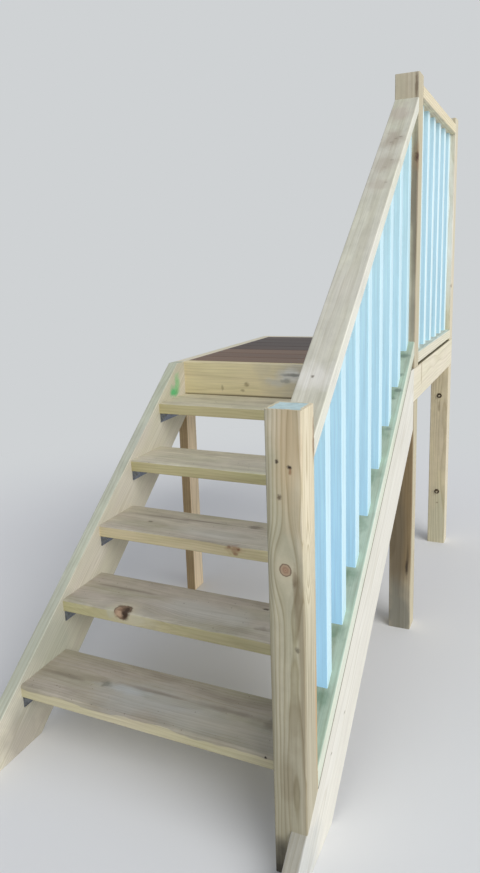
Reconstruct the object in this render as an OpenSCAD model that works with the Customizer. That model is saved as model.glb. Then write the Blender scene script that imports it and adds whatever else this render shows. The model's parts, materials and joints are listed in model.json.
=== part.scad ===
// Timber deck stairs: five open treads between raking stringers, a framed and
// boarded landing, and a balustrade along the right side. X runs across the
// flight, Y up the flight to the back of the landing, Z up, in mm.

/* [Flight] */
// Clear width between the inner faces of the stringers
clear_width = 1000; // [800:10:1200]
// Height from the stringers' feet to the first tread's top
first_rise = 230; // [170:5:240]
// Height from each tread to the next
rise = 190; // [170:1:195]
// Level distance from each nosing to the next
going = 245; // [235:1:280]
// Height from the last tread to the landing
top_rise = 150; // [150:5:195]
// Depth of a tread, front to back
tread_depth = 240; // [200:5:240]
// Thickness of a tread
tread_thickness = 45; // [32:1:50]

/* [Stringers] */
// Thickness of a stringer
stringer_thickness = 45; // [35:1:50]
// Depth of a stringer, square to its edges
stringer_depth = 240; // [230:5:290]
// Height of the stringer's top edge above the line of the nosings
stringer_margin = 14; // [0:1:30]
// Height of the plumb cut at the stringer's toe
toe_height = 46; // [20:1:80]

/* [Tread brackets] */
// Leg of the folded steel angle under each end of a tread
bracket_leg = 40; // [30:1:45]
// Thickness of the folded steel
bracket_thickness = 3; // [2:0.5:5]
// Length of the angle along the stringer
bracket_length = 190; // [120:5:190]
// Distance from the tread's nosing to the front of the angle
bracket_setback = 5; // [2:1:20]
// Inner radius of the fold
bracket_bend = 3; // [2:0.5:6]

/* [Posts] */
// Side of a square post
post_width = 90; // [88:1:110]
// Distance from the front of the bottom newel to the first nosing
newel_lead = 135; // [125:5:180]
// How far the bottom newel stands above the end of the handrail
newel_stand = 80; // [20:5:150]
// How far the landing's two posts stand above the rails
post_stand = 30; // [20:5:150]
// Diameter of the holes for the anchors in the wall post
anchor_bore = 12; // [8:0.5:16]
// Height of the lower anchor above the post's foot
lower_anchor_height = 300; // [200:10:400]
// Distance of the upper anchor below the landing's frame
upper_anchor_drop = 160; // [60:10:250]

/* [Landing] */
// Length of the landing, front to back
landing_length = 1090; // [900:10:1300]
// Thickness of the framing boards
framing_thickness = 45; // [35:1:50]
// Depth of the header, which is also the last riser and runs down behind the last tread
header_depth = 190; // [160:5:200]
// Depth of the outer joists and the back joist
joist_depth = 140; // [120:5:145]
// Depth of the boards' inner bearers
bearer_depth = 90; // [70:5:110]
// Thickness of the landing's boards
deck_thickness = 19; // [17:1:28]
// Gap between the landing's boards, and round them
deck_gap = 2.5; // [2:0.5:6]
// Depth of the left leg, front to back
leg_depth = 90; // [70:5:110]

/* [Balustrade] */
// Height of the handrail's top above the line of the nosings, plumb
handrail_height = 975; // [900:5:1000]
// Thickness of the handrail, square to the rake
handrail_thickness = 42; // [35:1:50]
// Thickness of the raking base rail, square to the rake
base_rail_thickness = 45; // [25:1:50]
// Height of the landing's top rail above the boards
landing_rail_height = 1070; // [1000:5:1100]
// Thickness of the landing's top and bottom rails
landing_rail_thickness = 45; // [35:1:50]
// Gap between the landing's frame and its bottom rail
bottom_rail_gap = 10; // [5:1:60]
// Side of a square baluster
baluster_size = 42; // [32:1:45]
// Spacing of the stair balusters, centre to centre on the level
stair_baluster_pitch = 151; // [100:1:160]
// Spacing of the landing balusters, centre to centre
landing_baluster_pitch = 151; // [100:1:165]

/* [Finish] */
// Radius of the eased edges of the framing timber
arris_radius = 4; // [2:0.5:8]
// Radius of the eased edges of a baluster
baluster_arris_radius = 2.5; // [1:0.5:5]
// Radius of the eased edges of the landing's boards
deck_arris_radius = 2; // [1:0.5:4]

/* [Hidden] */
tread_count = 5;
deck_board_count = 7;
$fn = 32;

slope = rise / going;
rake = atan(slope);
rake_length = sqrt(1 + slope * slope);
// A size square to the rake, measured plumb
function plumb(t) = t * rake_length;

inner_x = clear_width / 2;
outer_x = inner_x + stringer_thickness;
post_x = outer_x - post_width;
baluster_x = outer_x - post_width / 2 - baluster_size / 2;

// Y is measured from the first nosing until the last step, which centres the part.
function nosing_y(i) = (i - 1) * going;
function tread_top(i) = first_rise + (i - 1) * rise;
landing_z = tread_top(tread_count) + top_rise;
joist_bottom_z = landing_z - joist_depth;
deck_bottom_z = landing_z - deck_thickness;

stringer_top_0 = first_rise + stringer_margin;
base_rail_top_0 = stringer_top_0 + plumb(base_rail_thickness);
handrail_top_0 = first_rise + handrail_height;
handrail_bottom_0 = handrail_top_0 - plumb(handrail_thickness);

toe_y = (toe_height - stringer_top_0) / slope;
newel_y = -newel_lead;
newel_back_y = newel_y + post_width;
header_y = nosing_y(tread_count) + tread_depth;
header_back_y = header_y + framing_thickness;
front_post_back_y = header_y + post_width;
wall_y = header_y + landing_length;
back_joist_y = wall_y - framing_thickness;
wall_post_y = wall_y - post_width;
mid_y = (toe_y + wall_y) / 2;

deck_run = back_joist_y - header_back_y;
deck_board_width = (deck_run - (deck_board_count + 1) * deck_gap) / deck_board_count;
landing_rail_top_z = landing_z + landing_rail_height;
bottom_rail_top_z = landing_z + bottom_rail_gap + landing_rail_thickness;
bottom_newel_top_z = handrail_top_0 + slope * newel_back_y + newel_stand;
post_top_z = max(landing_rail_top_z, handrail_top_0 + slope * header_y) + post_stand;

// The stair row starts against the top newel and the landing's against the wall
// post, and each ends where the next baluster would not fit.
stair_baluster_run = header_y - newel_back_y - baluster_size;
stair_baluster_gaps = floor(stair_baluster_run / stair_baluster_pitch);
landing_baluster_run = wall_post_y - front_post_back_y - baluster_size;
landing_baluster_gaps = floor(landing_baluster_run / landing_baluster_pitch);
// Beyond any face that is cut
over = 10;

pine = "#cfc6a0";
primer = "#b4dcef";
galvanised = "#8d97a1";
deck_brown = "#7a5c4a";

// Working shapes

// A rectangle with eased corners, its first corner at the origin
module eased_rect(w, h, r = arris_radius) {
  translate([r, 0]) square([w - 2 * r, h]);
  translate([0, r]) square([w, h - 2 * r]);
  for (x = [r, w - r], y = [r, h - r]) translate([x, y]) circle(r);
}

// Runs a flat shape along Y: its own y hangs down from the top face at z = 0
module along_y(length) rotate([-90, 0, 0]) linear_extrude(length) children();

// Runs a flat shape along X in the same way
module along_x(length) rotate([90, 0, 90]) linear_extrude(length) children();

// A flat shape drawn in Y and Z, with its thickness along X
module side_slab(x, w) translate([x, 0, 0]) rotate([90, 0, 90]) linear_extrude(w) children();

// A board laid on the rake: its top face passes through top_0 at the first nosing
module raking_board(x, w, t, top_0, from_y, to_y) {
  translate([x, 0, top_0]) rotate([rake, 0, 0])
    translate([0, from_y * rake_length, 0])
      along_y((to_y - from_y) * rake_length) eased_rect(w, t);
}

// A board along Y between two upright cuts on the rake
module plumb_cut_board(x, w, t, top_0, from_y, to_y) {
  intersection() {
    raking_board(x, w, t, top_0, from_y - t, to_y + t);
    translate([x - over, from_y, 0]) cube([w + 2 * over, to_y - from_y, post_top_z]);
  }
}

// An upright post with eased edges and a sawn top
module post(x, y, height) {
  translate([x, y, 0]) linear_extrude(height) eased_rect(post_width, post_width);
}

// A level board along Y, its top face at top_z
module joist(x, from_y, to_y, top_z, depth) {
  translate([x, from_y, top_z]) along_y(to_y - from_y) eased_rect(framing_thickness, depth);
}

module in_place() translate([0, -mid_y, 0]) children();

// Flight

// Sawn plumb and level at the toe, level with the landing at the top, and plumb
// where it butts against the front of the landing
module stringer(x) {
  intersection() {
    raking_board(x, stringer_thickness, stringer_depth, stringer_top_0,
                 toe_y - stringer_depth, header_y + over);
    translate([x - over, toe_y, 0])
      cube([stringer_thickness + 2 * over, header_y - toe_y, landing_z]);
  }
}

module left_stringer() color(pine) in_place() stringer(-outer_x);
module right_stringer() color(pine) in_place() stringer(inner_x);

module tread(i) {
  color(pine) in_place() translate([-inner_x, nosing_y(i), tread_top(i) - tread_thickness])
    along_x(clear_width) eased_rect(tread_depth, tread_thickness);
}

// A folded angle: one leg flat on the stringer, the other under the tread
module angle_profile() {
  square([bracket_thickness, bracket_leg]);
  square([bracket_leg, bracket_thickness]);
  difference() {
    square(bracket_thickness + bracket_bend);
    translate([1, 1] * (bracket_thickness + bracket_bend)) circle(bracket_bend);
  }
}

// The angle with a three-cornered web folded in at each end
module tread_bracket() {
  along_y(bracket_length) angle_profile();
  for (y = [0, bracket_length - bracket_thickness]) translate([0, y, 0])
    along_y(bracket_thickness) polygon([[0, 0], [bracket_leg, 0], [0, bracket_leg]]);
}

module tread_brackets(side) {
  color(galvanised) in_place() for (i = [1 : tread_count])
    translate([side * inner_x, nosing_y(i) + bracket_setback, tread_top(i) - tread_thickness])
      mirror([max(side, 0), 0, 0]) tread_bracket();
}

// Posts

// The newel's outer half stands on the stringer's sloping edge and its inner
// half runs on down beside it, as far as the stringer's foot.
module bottom_newel_post() {
  color(pine) in_place() difference() {
    post(post_x, newel_y, bottom_newel_top_z);
    side_slab(inner_x, stringer_thickness + over) polygon([
      [newel_y - over, -over], [newel_back_y + over, -over],
      [newel_back_y + over, stringer_top_0 + slope * (newel_back_y + over)],
      [newel_y - over, stringer_top_0 + slope * (newel_y - over)]]);
  }
}

// The check-out in a post's outer half, where the outer joist runs through
module joist_check_out(post_y) {
  translate([inner_x, post_y - over, joist_bottom_z])
    cube([stringer_thickness + over, post_width + 2 * over, joist_depth]);
}

// One post from its foot to above the handrail
module top_newel_post() {
  color(pine) in_place() difference() {
    post(post_x, header_y, post_top_z);
    joist_check_out(header_y);
  }
}

module wall_post() {
  color(pine) in_place() difference() {
    post(post_x, wall_post_y, post_top_z);
    joist_check_out(wall_post_y);
    for (z = [lower_anchor_height, joist_bottom_z - upper_anchor_drop])
      translate([post_x + post_width / 2, wall_post_y - over, z]) rotate([-90, 0, 0])
        cylinder(d = anchor_bore, h = post_width + 2 * over);
  }
}

// The left leg stands under the front end of the left joist
module left_leg() {
  color(pine) in_place() translate([-outer_x, header_y, 0])
    linear_extrude(joist_bottom_z) eased_rect(stringer_thickness, leg_depth);
}

// Landing

module landing_header() {
  color(pine) in_place() translate([-inner_x, header_y, landing_z - header_depth])
    along_x(inner_x + post_x) eased_rect(framing_thickness, header_depth);
}

module back_landing_joist() {
  color(pine) in_place() translate([-inner_x, back_joist_y, joist_bottom_z])
    along_x(inner_x + post_x) eased_rect(framing_thickness, joist_depth);
}

// An outer joist carries on from the end of its stringer, in line with it
module outer_joist(x) {
  color(pine) in_place() translate([x, header_y, landing_z])
    along_y(landing_length) eased_rect(stringer_thickness, joist_depth);
}

module left_landing_joist() outer_joist(-outer_x);
module right_landing_joist() outer_joist(inner_x);

module centre_bearer() {
  color(pine) in_place()
    joist(-framing_thickness / 2, header_back_y, back_joist_y, deck_bottom_z, bearer_depth);
}

module left_bearer() {
  color(pine) in_place() joist(-inner_x, header_back_y, back_joist_y, deck_bottom_z, bearer_depth);
}

module right_bearer() {
  color(pine) in_place() joist(inner_x - framing_thickness, front_post_back_y, wall_post_y,
                               deck_bottom_z, bearer_depth);
}

// The first and last boards are notched round the posts
module deck_board(i) {
  color(deck_brown) in_place() difference() {
    translate([-inner_x + deck_gap, header_back_y + deck_gap + (i - 1) * (deck_board_width + deck_gap),
               deck_bottom_z])
      along_x(clear_width - 2 * deck_gap) eased_rect(deck_board_width, deck_thickness, deck_arris_radius);
    for (y = [header_y, wall_post_y])
      translate([post_x - deck_gap, y - deck_gap, deck_bottom_z - over])
        cube([post_width, post_width + 2 * deck_gap, deck_thickness + 2 * over]);
  }
}

// Balustrade

module base_rail() {
  color(pine) in_place()
    plumb_cut_board(post_x, post_width, base_rail_thickness, base_rail_top_0, newel_back_y, header_y);
}

module handrail() {
  color(pine) in_place()
    plumb_cut_board(post_x, post_width, handrail_thickness, handrail_top_0, newel_back_y, header_y);
}

// Square balusters, mitred at both ends to the rake, spaced down from the top newel
module stair_balusters() {
  color(primer) in_place() for (k = [0 : stair_baluster_gaps])
    intersection() {
      translate([baluster_x, header_y - baluster_size - k * stair_baluster_pitch, 0])
        linear_extrude(post_top_z) eased_rect(baluster_size, baluster_size, baluster_arris_radius);
      side_slab(baluster_x - over, baluster_size + 2 * over) polygon([
        [newel_back_y, base_rail_top_0 + slope * newel_back_y],
        [header_y, base_rail_top_0 + slope * header_y],
        [header_y, handrail_bottom_0 + slope * header_y],
        [newel_back_y, handrail_bottom_0 + slope * newel_back_y]]);
    }
}

module landing_rail(top_z) {
  color(pine) in_place() translate([post_x, front_post_back_y, top_z])
    along_y(wall_post_y - front_post_back_y) eased_rect(post_width, landing_rail_thickness);
}

module landing_top_rail() landing_rail(landing_rail_top_z);
module landing_bottom_rail() landing_rail(bottom_rail_top_z);

// Spaced forward from the wall post
module landing_balusters() {
  color(primer) in_place() for (k = [0 : landing_baluster_gaps])
    translate([baluster_x, wall_post_y - baluster_size - k * landing_baluster_pitch, bottom_rail_top_z])
      linear_extrude(landing_rail_top_z - landing_rail_thickness - bottom_rail_top_z)
        eased_rect(baluster_size, baluster_size, baluster_arris_radius);
}

left_stringer();
right_stringer();
tread(1);  // tread_1
tread(2);  // tread_2
tread(3);  // tread_3
tread(4);  // tread_4
tread(5);  // tread_5
tread_brackets(-1);  // left_tread_brackets
tread_brackets(1);  // right_tread_brackets
bottom_newel_post();
top_newel_post();
wall_post();
left_leg();
landing_header();
left_landing_joist();
right_landing_joist();
back_landing_joist();
centre_bearer();
left_bearer();
right_bearer();
deck_board(1);  // deck_board_1
deck_board(2);  // deck_board_2
deck_board(3);  // deck_board_3
deck_board(4);  // deck_board_4
deck_board(5);  // deck_board_5
deck_board(6);  // deck_board_6
deck_board(7);  // deck_board_7
base_rail();
handrail();
stair_balusters();
landing_top_rail();
landing_bottom_rail();
landing_balusters();
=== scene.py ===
# %% [markdown]
# Deck stairs in treated pine: a flight of open treads, a landing and a balustrade.
# The timber itself comes from the CAD model, already at its true size and place. This
# script gives each piece its finish, drives in the small fasteners, and sets up the
# camera, floor and light. Every length is in metres unless its name says mm.

# %% Load the frame
import json
import math

import bmesh
import bpy
from mathutils import Euler, Matrix, Vector


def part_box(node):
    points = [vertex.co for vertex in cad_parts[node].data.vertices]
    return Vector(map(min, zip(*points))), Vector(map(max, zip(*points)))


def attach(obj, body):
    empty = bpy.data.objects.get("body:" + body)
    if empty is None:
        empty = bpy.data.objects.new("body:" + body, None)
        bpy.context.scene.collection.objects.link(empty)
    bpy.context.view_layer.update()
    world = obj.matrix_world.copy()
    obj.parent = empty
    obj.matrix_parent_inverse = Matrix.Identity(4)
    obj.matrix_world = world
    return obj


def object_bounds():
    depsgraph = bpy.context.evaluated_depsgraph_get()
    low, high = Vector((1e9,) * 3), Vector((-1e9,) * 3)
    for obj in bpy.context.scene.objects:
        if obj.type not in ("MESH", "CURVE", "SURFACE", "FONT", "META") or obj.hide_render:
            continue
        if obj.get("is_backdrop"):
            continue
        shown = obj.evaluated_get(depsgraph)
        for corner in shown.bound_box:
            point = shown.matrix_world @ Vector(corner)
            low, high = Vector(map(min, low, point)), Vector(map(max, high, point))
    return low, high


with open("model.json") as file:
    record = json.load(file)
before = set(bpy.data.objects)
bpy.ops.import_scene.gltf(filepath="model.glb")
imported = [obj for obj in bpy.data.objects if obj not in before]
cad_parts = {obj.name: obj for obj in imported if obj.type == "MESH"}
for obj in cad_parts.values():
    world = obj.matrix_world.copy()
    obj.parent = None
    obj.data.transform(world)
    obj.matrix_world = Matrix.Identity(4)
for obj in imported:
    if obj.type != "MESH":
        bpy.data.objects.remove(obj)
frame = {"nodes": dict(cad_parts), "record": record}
cad_pieces = frame["nodes"]
cad_low, cad_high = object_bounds()
cad_size = cad_high - cad_low
print("CAD model:", len(cad_pieces), "pieces, size", [round(side, 3) for side in cad_size])

# %% [markdown]
# The camera stands where the picture was taken from: to the right of the flight, at
# about eye height. A camera could be placed by eye, but here its place and turn were
# worked out from the corners of the treads and posts, so the outlines fall where they
# should. The small shift stands in for the crop of the picture.

# %% Camera
PICTURE_WIDE, PICTURE_HIGH = 480, 873
FOCAL_PIXELS = 693.1
VIEW_CENTRE = (234.8, 409.0)
EYE = Vector((1.0480, -2.5868, 1.5765))
TO_RIGHT = Vector((0.90865, 0.41611, -0.03474)).normalized()
UPWARD = Vector((-0.05499, 0.20171, 0.97790)).normalized()
BACKWARD = TO_RIGHT.cross(UPWARD)

lens = bpy.data.cameras.new("camera")
lens.sensor_fit = "VERTICAL"
lens.sensor_height = 36.0
lens.lens = FOCAL_PIXELS / PICTURE_HIGH * lens.sensor_height
lens.shift_x = (PICTURE_WIDE / 2 - VIEW_CENTRE[0]) / PICTURE_HIGH
lens.shift_y = (VIEW_CENTRE[1] - PICTURE_HIGH / 2) / PICTURE_HIGH
camera = bpy.data.objects.new("camera", lens)
bpy.context.collection.objects.link(camera)
turn = Matrix((TO_RIGHT, UPWARD, BACKWARD)).transposed().to_4x4()
camera.matrix_world = Matrix.Translation(EYE) @ turn
bpy.context.scene.camera = camera
bpy.context.scene.view_settings.view_transform = "Standard"
print("camera lens %.1f mm, shift %.4f, %.4f" % (lens.lens, lens.shift_x, lens.shift_y))

# %% [markdown]
# Three helpers serve every material below. Colours are written as the hex values that a
# painter would pick from a swatch, and one helper turns them into the linear numbers
# that the shader wants. The second adds a node with its settings and its links, so that
# each finish reads as a list of steps. The third starts a new material.

# %% Colour and node helpers
def linear(swatch):
    """Turns an sRGB hex swatch into a linear colour."""
    parts = [int(swatch[start:start + 2], 16) / 255 for start in (1, 3, 5)]
    bent = [part / 12.92 if part <= 0.04045 else ((part + 0.055) / 1.055) ** 2.4 for part in parts]
    return (*bent, 1.0)


def add(tree, kind, inputs=None, out=0, stops=None, **settings):
    """Adds one node with its settings and links, and returns one of its outputs."""
    made = tree.nodes.new(kind)
    for key, value in settings.items():
        setattr(made, key, value)
    for key, value in (inputs or {}).items():
        if isinstance(value, bpy.types.NodeSocket):
            tree.links.new(value, made.inputs[key])
        else:
            made.inputs[key].default_value = value
    if stops:
        ramp = made.color_ramp.elements
        while len(ramp) < len(stops):
            ramp.new(1.0)
        for stop, (place, colour) in zip(ramp, stops):
            stop.position = place
            stop.color = colour
    return made if out is None else made.outputs[out]


def new_finish(name):
    """Starts a material and returns it with its node tree and its shader."""
    material = bpy.data.materials.new(name)
    material.use_nodes = True
    return material, material.node_tree, material.node_tree.nodes["Principled BSDF"]


print("a swatch of #808080 is %.3f in linear light" % linear("#808080")[0])

# %% [markdown]
# The light is a bright overcast day as a studio would copy it. One very wide soft lamp
# stands to the right, so the faces on that side are almost white and the fronts are
# about half as bright. A dim even sky fills the rest. A small lamp would draw a stripe
# of shadow from every baluster, and the real stairs show none. The lamp is a sun with a
# wide angle, because a lamp that stands close by would leave the far floor dark.

# %% Light
BACKDROP = "#cfd2d4"

key_lamp = bpy.data.lights.new("soft lamp", "SUN")
key_lamp.angle = math.radians(50)
key_lamp.energy = 2.15
key_lamp.color = (1.0, 0.985, 0.96)
key_light = bpy.data.objects.new("soft lamp", key_lamp)
bpy.context.collection.objects.link(key_light)
towards = Vector((0.74, -0.42, 0.53)).normalized()
key_light.rotation_euler = towards.to_track_quat("Z", "Y").to_euler()

world = bpy.data.worlds.new("overcast")
bpy.context.scene.world = world
world.use_nodes = True
sky = world.node_tree
sky.nodes.clear()
path = add(sky, "ShaderNodeLightPath", out=None)
seen = add(sky, "ShaderNodeMath", {0: path.outputs["Is Camera Ray"],
                                   1: path.outputs["Is Glossy Ray"]}, operation="MAXIMUM")
seen = add(sky, "ShaderNodeMath", {0: seen, 1: path.outputs["Is Transmission Ray"]},
           operation="MAXIMUM")
fill = add(sky, "ShaderNodeBackground", {"Color": linear("#eef2fb"), "Strength": 0.50})
shown = add(sky, "ShaderNodeBackground", {"Color": linear(BACKDROP), "Strength": 1.0})
both = add(sky, "ShaderNodeMixShader", {0: seen, 1: fill, 2: shown})
add(sky, "ShaderNodeOutputWorld", {"Surface": both}, out=None)
print("soft lamp %.0f degrees wide" % math.degrees(key_lamp.angle))

# %% [markdown]
# The floor is a wide pale sheet. Near the stairs it is plain matt paint that takes their
# shadow. Far away it fades, for the camera alone, into the same pale colour as the
# backdrop, so no horizon line cuts behind the balustrade. A sheet curved up behind the
# stairs would hide the horizon too, but from one side only. The floor lies half a
# millimetre below the feet, so that the two never share a plane.

# %% Floor
FLOOR_SIZE = 120.0
FLOOR_GAP = 0.0005
FADE_START, FADE_END = 1.7, 3.8

bpy.ops.mesh.primitive_plane_add(size=FLOOR_SIZE, location=(0.0, 0.0, -FLOOR_GAP))
floor = bpy.context.object
floor.name = "floor"
paint, tree, shader = new_finish("matt floor paint")
shader.inputs["Base Color"].default_value = linear("#e4e5e6")
shader.inputs["Roughness"].default_value = 0.9
place = add(tree, "ShaderNodeTexCoord", out="Object")
far = add(tree, "ShaderNodeVectorMath", {0: place}, out="Value", operation="LENGTH")
fade = add(tree, "ShaderNodeMapRange", {"Value": far, "From Min": FADE_START,
                                        "From Max": FADE_END}, interpolation_type="SMOOTHSTEP")
path = add(tree, "ShaderNodeLightPath", out=None)
seen = add(tree, "ShaderNodeMath", {0: path.outputs["Is Camera Ray"],
                                    1: path.outputs["Is Glossy Ray"]}, operation="MAXIMUM")
fade = add(tree, "ShaderNodeMath", {0: fade, 1: seen}, operation="MULTIPLY")
pale = add(tree, "ShaderNodeEmission", {"Color": linear(BACKDROP), "Strength": 1.0})
both = add(tree, "ShaderNodeMixShader", {0: fade, 1: shader.outputs[0], 2: pale})
tree.links.new(both, tree.nodes["Material Output"].inputs["Surface"])
floor.data.materials.append(paint)
floor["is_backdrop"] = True
print("floor fades out between %.1f and %.1f m" % (FADE_START, FADE_END))

# %% [markdown]
# The stairs are radiata pine, pressure treated and dressed smooth. Pine is a log of
# growth rings, so its grain can be made as the real thing is: rings round a pith line,
# cut through by the faces of the board. A face near the pith then shows wide arches, a
# quarter-sawn one shows straight lines, and the sawn ends show arcs, all from one rule.
# A flat stretched noise would be simpler, but it looks the same on every face.
#
# First each board gets its own space, turned so that x runs along the grain, with the
# pith lying on y = z = 0. Rings in the model's own axes would be simpler, but then every
# board would seem to be cut from one log.

# %% Board space
RISE, GOING = 0.190, 0.245
RAKE = math.atan2(RISE, GOING)
GRAIN = {
    "across": Euler((0.0, 0.0, 0.0)),
    "back": Euler((0.0, 0.0, -math.pi / 2)),
    "up": Euler((0.0, math.pi / 2, 0.0)),
    "rake": Euler((-RAKE, 0.0, -math.pi / 2)),
}


def into_board(grain, heart, point):
    """Where a point of the model lies in a board's own space."""
    return GRAIN[grain].to_matrix() @ (Vector(point) - Vector(heart))


def board_space(tree, grain, heart):
    """The same change of place, as nodes."""
    place = add(tree, "ShaderNodeTexCoord", out="Object")
    shift = -(GRAIN[grain].to_matrix() @ Vector(heart))
    return add(tree, "ShaderNodeMapping", {"Vector": place, "Location": shift,
                                           "Rotation": GRAIN[grain]})


print("rake %.2f degrees" % math.degrees(RAKE))

# %% [markdown]
# A knot is a branch sawn across. The wood round it had to grow past, so the grain bends
# out of its way. A brown spot laid on straight grain would be quicker, but it looks like
# a stain. So each knot pulls the board space in towards itself, which crowds the rings
# round it, and hands on how many knot radii away a place is. The bend reaches further
# along the grain than across it. A branch goes right through a board's thickness, or
# ends inside it.

# %% Grain round a knot
# Distances are multiplied by these, along the grain, through the board and across it. A
# zero leaves a direction out, which makes a rod of a knot that goes right through.
OUTLINE = {"through": (0.9, 0.0, 1.0), "inside": (0.9, 1.0, 1.0)}
REACH = {"through": (0.42, 0.0, 1.0), "inside": (0.42, 1.0, 1.0)}
SIDEWAYS = {"through": (0.0, 0.0, 1.0), "inside": (0.0, 1.0, 1.0)}
BEND_FULL, BEND_GONE = 0.5, 4.6


def radii_away(tree, away, stretch, radius):
    """How many knot radii away a place is, with its distances stretched first."""
    flat = add(tree, "ShaderNodeVectorMath", {0: away, 1: stretch}, operation="MULTIPLY")
    length = add(tree, "ShaderNodeVectorMath", {0: flat}, out="Value", operation="LENGTH")
    return add(tree, "ShaderNodeMath", {0: length, 1: radius}, operation="DIVIDE")


def bend_past(tree, bent, away, way, radius):
    """Bends the grain round one knot, and returns the bent space and the knot's radii."""
    near = radii_away(tree, away, REACH[way], radius)
    pull = add(tree, "ShaderNodeMapRange", {"Value": near, "From Min": BEND_FULL,
                                            "From Max": BEND_GONE, "To Min": 1.0, "To Max": 0.0},
               interpolation_type="SMOOTHERSTEP")
    side = add(tree, "ShaderNodeVectorMath", {0: away, 1: SIDEWAYS[way]}, operation="MULTIPLY")
    side = add(tree, "ShaderNodeVectorMath", {0: side, "Scale": pull}, operation="SCALE")
    bent = add(tree, "ShaderNodeVectorMath", {0: bent, 1: side}, operation="SUBTRACT")
    return bent, radii_away(tree, away, OUTLINE[way], radius)


print("a knot bends the grain out to %.1f of its radii" % BEND_GONE)

# %% [markdown]
# Knots that show in the picture are listed further down, one by one. Sides that it does
# not show have knots too, and a list for them would be guesswork, so a Voronoi pattern
# scatters those. Its cells are 420 mm long, the distance between two whorls of branches,
# and 130 mm wide. Most cells get a knot too small to see.

# %% Scattered knots
WILD_SPACING = (0.42, 0.0, 0.13)
WILD_SMALLEST, WILD_LARGEST = 0.0004, 0.012


def wild_knots(tree, board, share):
    """Scattered knots: the way to the nearest one, and its radius, nearly none for most."""
    packed = tuple(1 / gap if gap else 0.0 for gap in WILD_SPACING)
    cell = add(tree, "ShaderNodeVectorMath", {0: board, 1: packed}, operation="MULTIPLY")
    nearest = add(tree, "ShaderNodeTexVoronoi", {"Vector": cell, "Scale": 1.0}, out=None)
    away = add(tree, "ShaderNodeVectorMath", {0: cell, 1: nearest.outputs["Position"]},
               operation="SUBTRACT")
    away = add(tree, "ShaderNodeVectorMath", {0: away, 1: WILD_SPACING}, operation="MULTIPLY")
    chance = add(tree, "ShaderNodeSeparateColor", {0: nearest.outputs["Color"]}, out=0)
    radius = add(tree, "ShaderNodeMapRange", {"Value": chance, "From Min": 1.0 - share,
                                              "From Max": 1.0, "To Min": WILD_SMALLEST,
                                              "To Max": WILD_LARGEST})
    return away, radius


print("largest scattered knot %.0f mm across" % (2000 * WILD_LARGEST))

# %% [markdown]
# Now the wood itself. Early wood is pale and late wood is a thin darker line at the end
# of each ring, 8 mm apart here, as in fast-grown pine. Fine fibres lie along it. They
# are drawn 3 mm wide, coarser than real ones, because thinner ones would not show at
# this distance. Rings and fibres could each have a colour, but as a tint they multiply
# whatever colour the wood has there, so the figure shows through weather and stains as
# it really does.
#
# Blender wants a pattern's scale as the number of times that it repeats in a metre. That
# is hard to picture, so a helper works it out from the real size of one repeat in
# millimetres, along the grain and twice across it.

# %% Rings and fibres
LATE_WOOD = (0.68, 0.64, 0.54)
RING_MM = 8
RING_WANDER_MM = (526, 143, 143)
FIBRE_MM = (143, 3.125, 3.125)


def repeats(size_mm):
    """How often a pattern of this size repeats in a metre, along each axis."""
    return tuple(1000 / length for length in size_mm)


def ring_tint(tree, bent, contrast, wander_mm):
    """The rings and fibres as a tint, with the bare ring and fibre values."""
    section = add(tree, "ShaderNodeVectorMath", {0: bent, 1: (0.0, 1.0, 1.0)}, operation="MULTIPLY")
    radius = add(tree, "ShaderNodeVectorMath", {0: section}, out="Value", operation="LENGTH")
    slow = add(tree, "ShaderNodeVectorMath", {0: bent, 1: repeats(RING_WANDER_MM)},
               operation="MULTIPLY")
    wander = add(tree, "ShaderNodeTexNoise", {"Vector": slow, "Scale": 1.0, "Detail": 2.5})
    radius = add(tree, "ShaderNodeMath", {0: wander, 1: wander_mm / 1000, 2: radius},
                 operation="MULTIPLY_ADD")
    rings = add(tree, "ShaderNodeMath", {0: radius, 1: RING_MM / 1000}, operation="DIVIDE")
    ring = add(tree, "ShaderNodeMath", {0: rings}, operation="FRACT")
    dark = (*(1 - (1 - late) * contrast for late in LATE_WOOD), 1.0)
    half = (*((1 + late) / 2 for late in dark[:3]), 1.0)
    white = (1.0, 1.0, 1.0, 1.0)
    tint = add(tree, "ShaderNodeValToRGB", {0: ring},
               stops=((0.0, white), (0.35, white), (0.70, half), (0.87, dark), (1.0, white)))
    fine = add(tree, "ShaderNodeVectorMath", {0: bent, 1: repeats(FIBRE_MM)},
               operation="MULTIPLY")
    fibre = add(tree, "ShaderNodeTexNoise", {"Vector": fine, "Scale": 1.0, "Detail": 2.0})
    streak = add(tree, "ShaderNodeMapRange", {"Value": fibre, "From Min": 0.3, "From Max": 0.7,
                                              "To Min": 0.91, "To Max": 1.06})
    tint = add(tree, "ShaderNodeMix", {0: 1.0, 6: tint, 7: streak}, out=2,
               data_type="RGBA", blend_type="MULTIPLY")
    return tint, ring, fibre


print("rings every %d mm, fibres %.1f mm wide" % (RING_MM, FIBRE_MM[1]))

# %% [markdown]
# Treatment and weather change the colour before the figure goes over it. The copper took
# better in some places and left broad greenish patches, 385 x 91 mm. Wet boots and mud
# have left long darker smears, 435 x 71 mm. Both could be placed by hand, but sides that
# the picture does not show need them too, so noise lays them on.

# %% Copper and smears
COPPER = (0.90, 0.96, 0.80)
COPPER_PATCH_MM = (385, 91, 91)
SMEAR_MM = (435, 71.4, 71.4)
SMEAR_TINT = "#b5aba2"


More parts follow.
